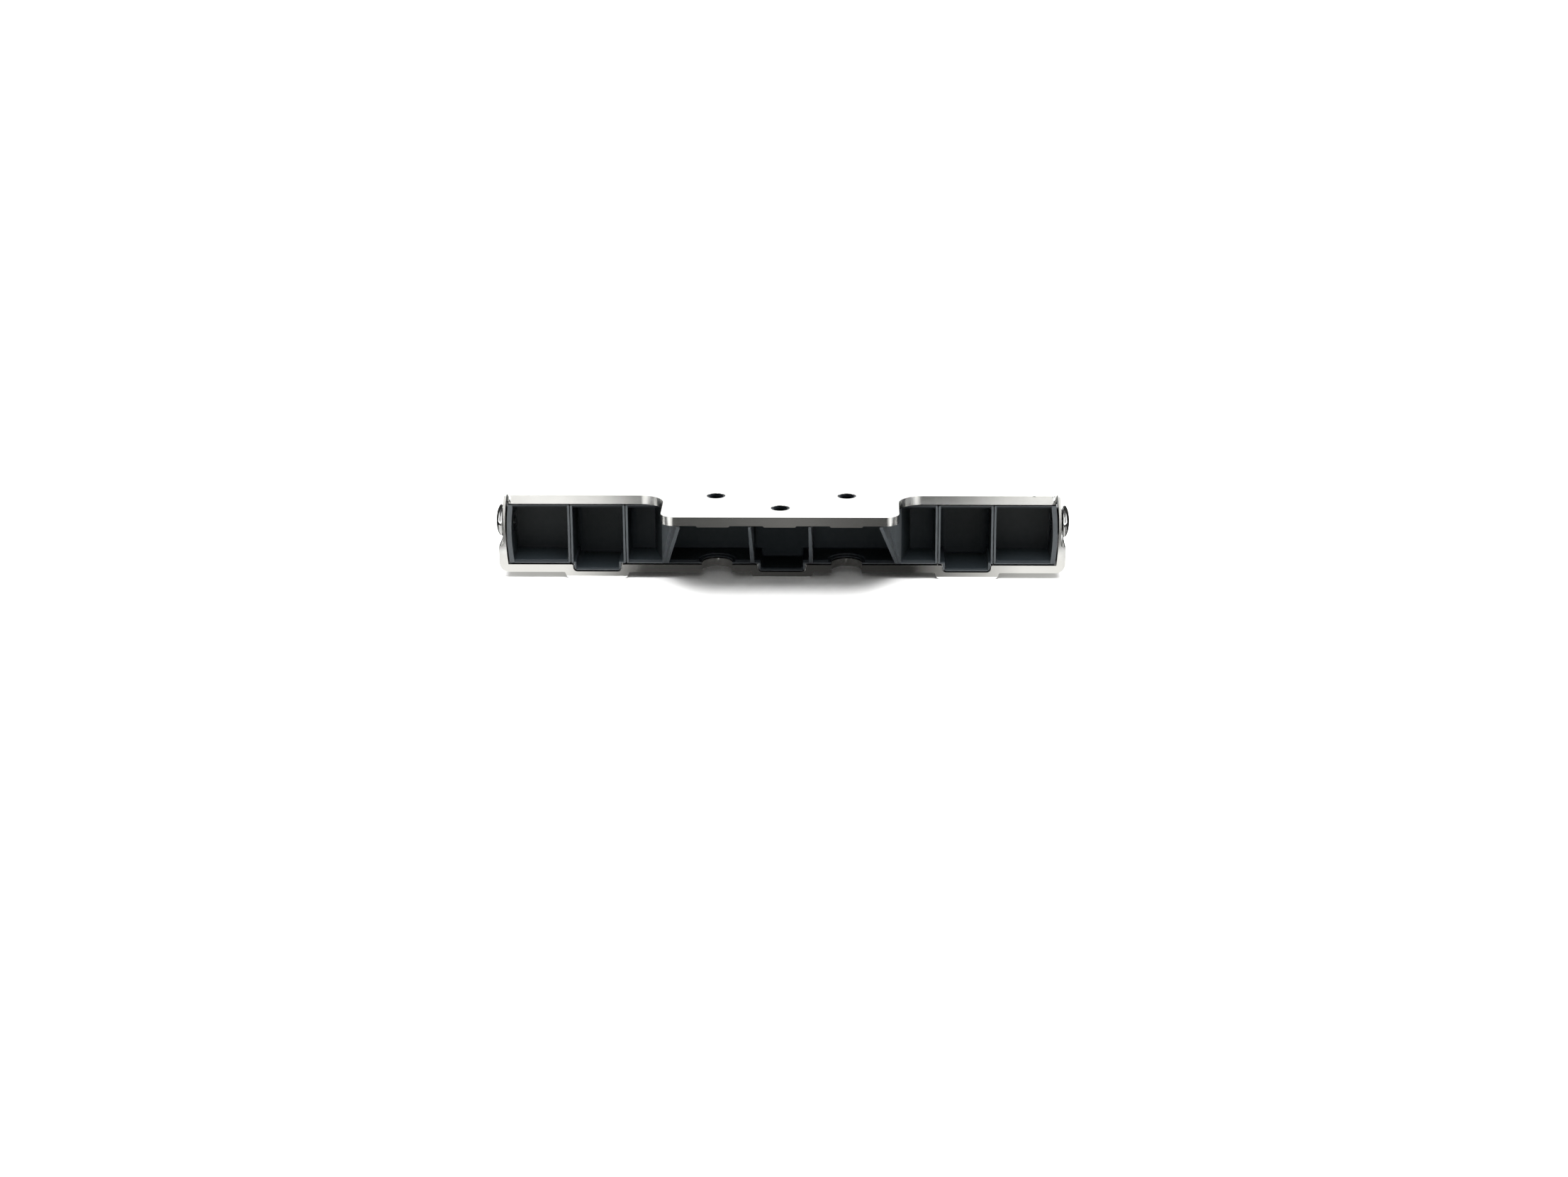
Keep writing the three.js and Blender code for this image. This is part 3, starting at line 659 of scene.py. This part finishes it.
def graded_card(name, corners, stops):
    """A card that only reflections see, shaded from left to right.

    The stops are (x in millimetres, brightness).
    """
    material = bpy.data.materials.new(name)
    material.use_nodes = True
    tree = material.node_tree
    tree.nodes.clear()
    out = tree.nodes.new("ShaderNodeOutputMaterial")
    glow = tree.nodes.new("ShaderNodeEmission")
    coords = tree.nodes.new("ShaderNodeTexCoord")
    split = tree.nodes.new("ShaderNodeSeparateXYZ")
    across = tree.nodes.new("ShaderNodeMapRange")
    ramp = tree.nodes.new("ShaderNodeValToRGB")
    left, right = stops[0][0] * MM, stops[-1][0] * MM
    across.inputs["From Min"].default_value = left
    across.inputs["From Max"].default_value = right
    while len(ramp.color_ramp.elements) < len(stops):
        ramp.color_ramp.elements.new(0.5)
    for element, (x, level) in zip(ramp.color_ramp.elements, stops):
        element.position = (x * MM - left) / (right - left)
        element.color = (level, level * 0.985, level * 0.95, 1)
    tree.links.new(coords.outputs["Object"], split.inputs[0])
    tree.links.new(split.outputs["X"], across.inputs["Value"])
    tree.links.new(across.outputs["Result"], ramp.inputs["Fac"])
    tree.links.new(ramp.outputs["Color"], glow.inputs["Color"])
    tree.links.new(glow.outputs[0], out.inputs["Surface"])
    card = stage_plane(name, corners, material)
    card.visible_camera = False
    card.visible_diffuse = False
    card.visible_shadow = False
    card.visible_transmission = False


def flat_card(name, left, right, near, far, height, stops):
    corners = [(left, near, height), (right, near, height), (right, far, height), (left, far, height)]
    graded_card(name, corners, stops)


CARD_HALF = 75  # millimetres, like the stops
CARD_LIFT = 0.4 * MM
CARD_TURN_Y = -80 * MM  # where the front card turns from the floor to upright
CARD_HEIGHT = 90 * MM
FRONT_CARD_REACH = 26 * MM  # the front card starts this far in front of the tongue
TRAY_CARD_REACH = 1 * MM
DARK = 0.03
DARKEST = 0.02
ROOT_CARD_Y = (-36 * MM, -15 * MM)
END_CARD_FRONT_Y = -42 * MM
SIDE_CARD_EDGES = (24 * MM, 54 * MM, 110 * MM)


def even(level):
    """Stops of a card that is the same grey all over."""
    return [(-CARD_HALF, level), (CARD_HALF, level)]


def make_front_cards():
    """Grey cards in front of the carriage. They give its front faces their dark middle."""
    low = floor_z + CARD_LIFT
    half = CARD_HALF * MM
    front_stops = [(-CARD_HALF, 1.15), (-46, 1.05), (-37, 0.8), (-32, 0.15), (-29, 0.02), (0, 0.17)]
    front_stops += [(29, 0.02), (36, 0.15), (43, 0.65), (50, 1.0), (CARD_HALF, 1.15)]
    near = plate_low.y - FRONT_CARD_REACH
    flat_card("front_card", -half, half, CARD_TURN_Y, near, low, front_stops)
    y = CARD_TURN_Y
    top = low + CARD_HEIGHT
    upright = [(-half, y, low), (half, y, low), (half, y, top), (-half, y, top)]
    graded_card("upright_card", upright, front_stops)
    tray_stops = [(-CARD_HALF, 1.0), (-40, 0.95), (-26, 0.05), (24, 0.02), (36, 0.5), (44, 0.95)]
    tray_stops.append((CARD_HALF, 1.0))
    turn = plate_low.y - TRAY_CARD_REACH
    flat_card("tray_card", -half, half, turn, body_back_y, low, tray_stops)
    tongue_half = SIDE_CARD_EDGES[0]
    flat_card("under_tongue_card", -tongue_half, tongue_half, near, turn, low, even(DARKEST))


def make_side_cards():
    """Dark cards beside the carriage, for the outlines of the domes and the tongue's roots."""
    low = floor_z + CARD_LIFT
    root, end, outer = SIDE_CARD_EDGES
    back = body_back_y + 8 * MM
    for side in (-1, 1):
        left, right = sorted((root * side, end * side))
        flat_card("root_card", left, right, *ROOT_CARD_Y, low, even(DARK))
        left, right = sorted((end * side, outer * side))
        flat_card("end_floor_card", left, right, END_CARD_FRONT_Y, back, low, even(DARK))
        corners = [(left, back, low), (right, back, low), (right, back, outer), (left, back, outer)]
        graded_card("behind_end_card", corners, even(DARK))


def hang(name, data, place, aim):
    """Puts a lamp in its place, turned to its aim. Reflections don't show it."""
    lamp = bpy.data.objects.new(name, data)
    bpy.context.collection.objects.link(lamp)
    lamp.location = place
    lamp.rotation_euler = (Vector(aim) - Vector(place)).to_track_quat("-Z", "Y").to_euler()
    lamp.visible_glossy = False


def softbox(name, place, size, watts):
    """A large soft lamp that looks at the carriage."""
    data = bpy.data.lights.new(name, "AREA")
    data.shape = "RECTANGLE"
    data.size, data.size_y = size
    data.energy = watts
    hang(name, data, place, (0, 0, 0))


def pocket_spot(name, place, angle, watts):
    """A narrow lamp that shines in under the tongue."""
    data = bpy.data.lights.new(name, "SPOT")
    data.energy = watts
    data.spot_size = angle
    data.spot_blend = 0.7
    data.shadow_soft_size = 0.03
    hang(name, data, place, (0, body_front_y, (floor_z + plate_high.z) / 2))


class WorldShader:
    """The studio round the carriage: white to the camera.

    To the carriage it is darker in front, where the photographer stands, and its reflections have a
    dark ceiling.
    """

    def __init__(self, bright, dim):
        world = bpy.data.worlds.new("studio")
        bpy.context.scene.world = world
        world.use_nodes = True
        self.tree = world.node_tree
        coords = self.tree.nodes.new("ShaderNodeTexCoord")
        split = self.tree.nodes.new("ShaderNodeSeparateXYZ")
        self.tree.links.new(coords.outputs["Generated"], split.inputs[0])
        path = self.tree.nodes.new("ShaderNodeLightPath")
        front = self.ramp(split.outputs["Y"], -0.15, -0.65)
        ceiling = self.ramp(split.outputs["Z"], 0.4, 0.65)
        ceiling = self.maths("MULTIPLY", ceiling, path.outputs["Is Glossy Ray"])
        shade = self.maths("MAXIMUM", front, ceiling)
        seen = self.maths("SUBTRACT", 1.0, path.outputs["Is Camera Ray"])
        shade = self.maths("MULTIPLY", shade, seen)
        strength = self.maths("ADD", self.maths("MULTIPLY", shade, dim - bright), bright)
        background = self.tree.nodes["Background"]
        background.inputs["Color"].default_value = (1.0, 1.0, 0.99, 1)
        self.tree.links.new(strength, background.inputs["Strength"])

    def ramp(self, value, start, end):
        made = self.tree.nodes.new("ShaderNodeMapRange")
        made.interpolation_type = "SMOOTHSTEP"
        made.inputs["From Min"].default_value = start
        made.inputs["From Max"].default_value = end
        self.tree.links.new(value, made.inputs["Value"])
        return made.outputs["Result"]

    def maths(self, operation, first, second):
        return maths_node(self.tree, operation, first, second)


def make_light():
    WorldShader(bright=1.3, dim=0.12)
    softbox("overhead", (0, -0.05, 1.0), (1.4, 1.4), 60.0)
    softbox("front_fill", (0, -0.9, 0.95), (1.4, 0.8), 8.0)
    pocket_spot("under_tongue_fill", (0, -0.35, 0.02), math.radians(10), 3.2)
    bpy.context.scene.view_settings.view_transform = "Standard"


make_floor()
make_front_cards()
make_side_cards()
make_light()
